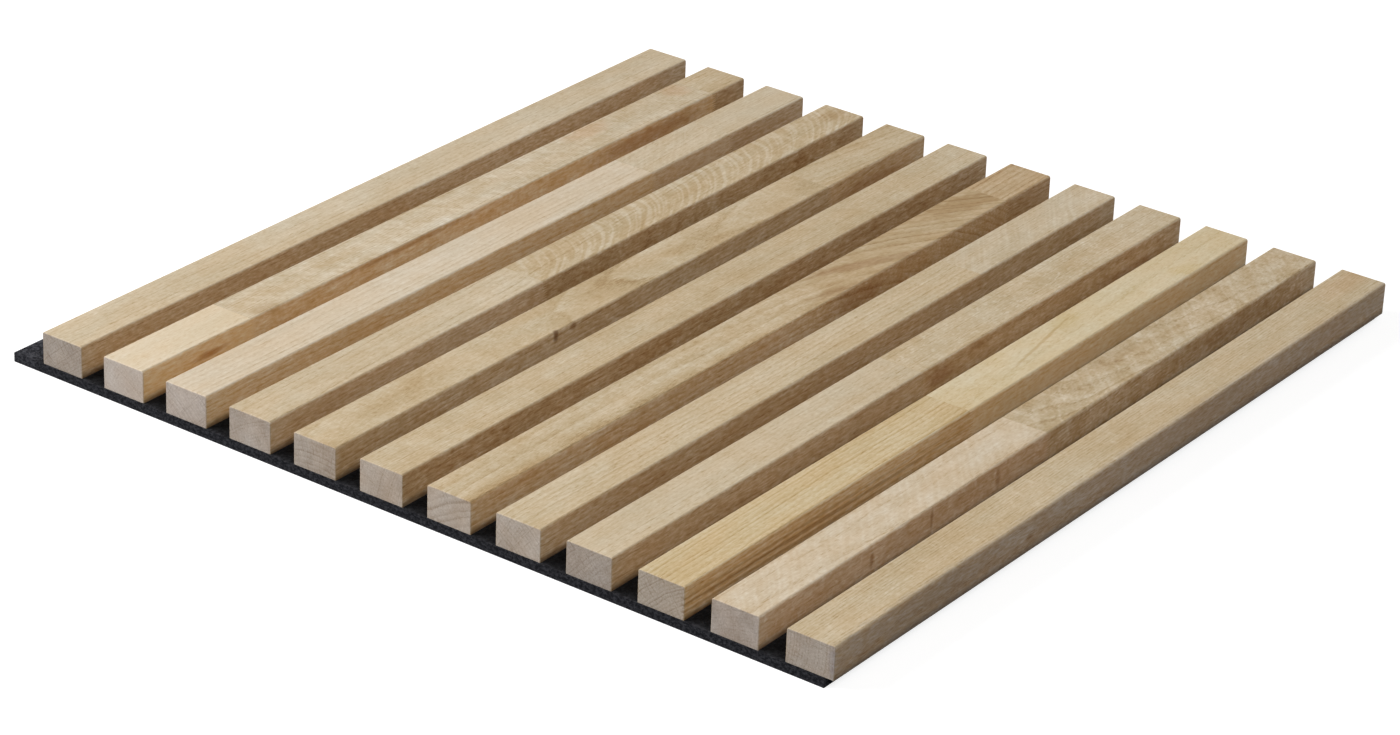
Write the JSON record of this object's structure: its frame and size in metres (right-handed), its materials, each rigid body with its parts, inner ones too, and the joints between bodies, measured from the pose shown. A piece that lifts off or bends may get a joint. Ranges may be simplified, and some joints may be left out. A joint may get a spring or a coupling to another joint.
{
  "type": "slatted wall panel",
  "caption": "Flat panel of parallel solid oak slats with even gaps on a black felt sheet, which stands out along one side so that panels butt together with the gap kept.",
  "frame": {"origin": "middle of the box around the panel, on the flat back", "axes": "+Z out of the slatted face, +Y along the slats, +X across them, with the felt standing out at -X"},
  "size_m": [0.6054, 0.6, 0.027],
  "materials": {
    "oak": "planed and sanded solid oak, matt, unstained, tones differ from length to length",
    "felt": "black pressed polyester felt, matt",
    "staple_steel": "zinc-plated steel wire"
  },
  "bodies": {
    "root": {"felt_backing": "felt", "slat_01": "oak", "slat_02_far": "oak", "slat_02_middle": "oak", "slat_02_near": "oak", "slat_03_far": "oak", "slat_03_middle": "oak", "slat_03_near": "oak", "slat_04_far": "oak", "slat_04_near": "oak", "slat_05_far": "oak", "slat_05_near": "oak", "slat_06": "oak", "slat_07_far": "oak", "slat_07_near": "oak", "slat_08_far": "oak", "slat_08_near": "oak", "slat_09_far": "oak", "slat_09_near": "oak", "slat_10_far": "oak", "slat_10_near": "oak", "slat_11_far": "oak", "slat_11_near": "oak", "slat_12": "oak", "staples": "staple_steel"}
  },
  "joints": []
}
